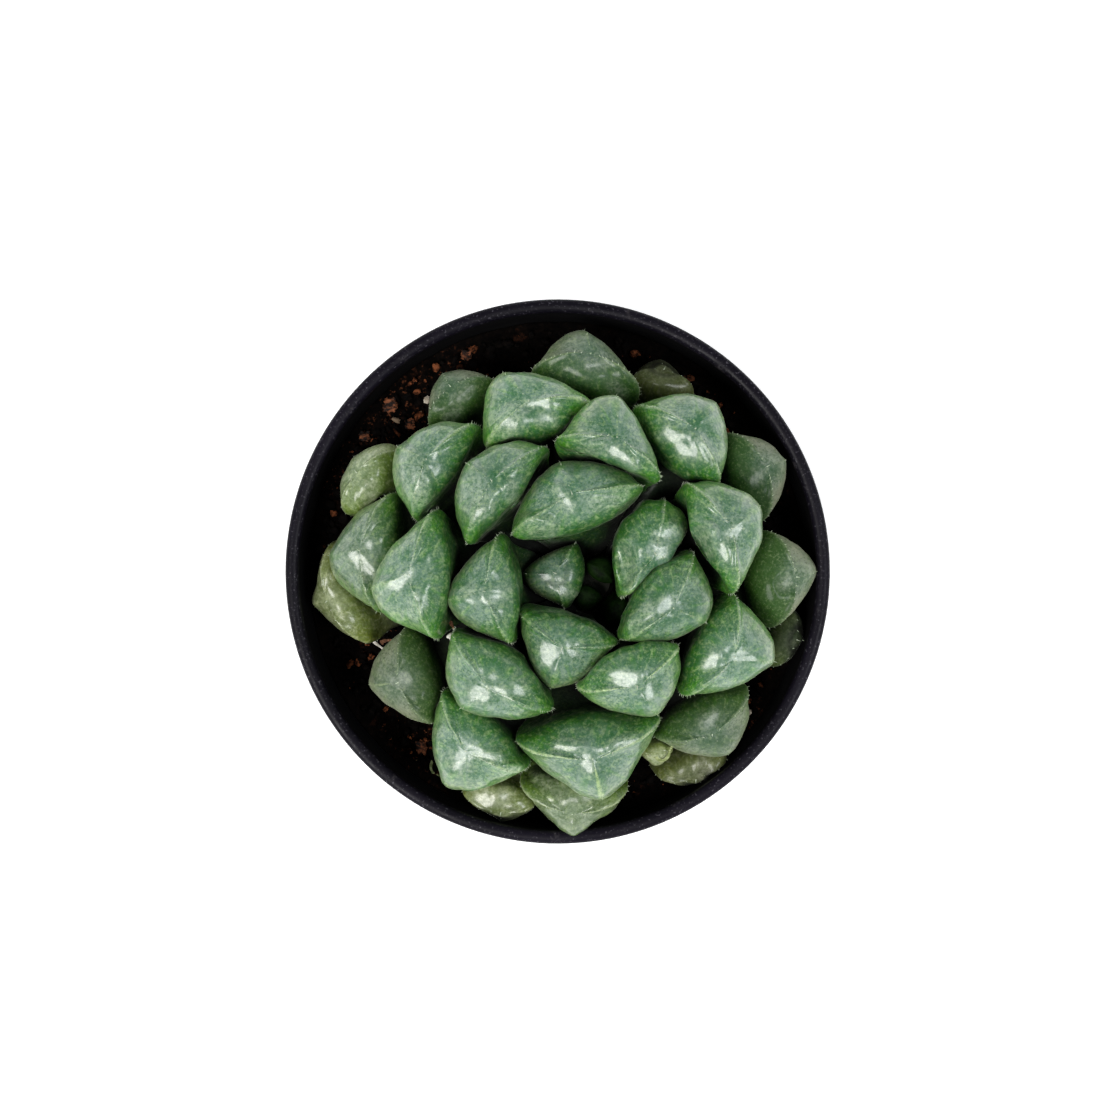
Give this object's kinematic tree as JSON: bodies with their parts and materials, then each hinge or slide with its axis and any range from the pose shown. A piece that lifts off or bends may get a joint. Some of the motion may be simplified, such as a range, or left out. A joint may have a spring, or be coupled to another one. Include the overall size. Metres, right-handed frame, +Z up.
{
  "type": "potted haworthia",
  "caption": "Round rosette of plump, blunt, three-edged green succulent leaves on a short stem, rooted in dark coarse soil in a small black plastic nursery pot.",
  "frame": {"origin": "middle of the pot's underside, on the surface that it stands on", "axes": "+Z up along the pot's axis; +X to the right and +Y to the top of the view from above that the picture takes"},
  "size_m": [0.085, 0.085, 0.0872],
  "materials": {
    "pot_plastic": "satin",
    "soil": "matte",
    "stem": "matte",
    "leaf": "satin, translucent windows",
    "old_leaf": "satin",
    "bark_chip": "matte",
    "grit": "matte",
    "pale_litter": "matte"
  },
  "bodies": {
    "root": {"nursery_pot": "pot_plastic", "soil": "soil", "stem": "stem", "leaf_01": "leaf", "leaf_02": "leaf", "leaf_03": "leaf", "leaf_04": "leaf", "leaf_05": "leaf", "leaf_06": "leaf", "leaf_07": "leaf", "leaf_08": "leaf", "leaf_09": "leaf", "leaf_10": "leaf", "leaf_11": "leaf", "leaf_12": "leaf", "leaf_13": "leaf", "leaf_14": "leaf", "leaf_15": "leaf", "leaf_16": "leaf", "leaf_17": "leaf", "leaf_18": "leaf", "leaf_19": "leaf", "leaf_20": "leaf", "leaf_21": "leaf", "leaf_22": "leaf", "leaf_23": "leaf", "leaf_24": "leaf", "leaf_25": "leaf", "leaf_26": "leaf", "leaf_27": "leaf", "leaf_28": "leaf", "leaf_29": "old_leaf", "leaf_30": "old_leaf", "leaf_31": "old_leaf", "leaf_32": "old_leaf", "leaf_33": "old_leaf", "leaf_34": "old_leaf", "leaf_35": "old_leaf", "leaf_36": "old_leaf", "chip_bark_1": "bark_chip", "chip_bark_2": "bark_chip", "chip_bark_3": "bark_chip", "chip_bark_4": "bark_chip", "chip_bark_5": "bark_chip", "chip_bark_6": "bark_chip", "chip_grit_1": "grit", "chip_grit_2": "grit", "pale_splinter": "pale_litter", "dried_shred": "pale_litter"}
  },
  "joints": []
}
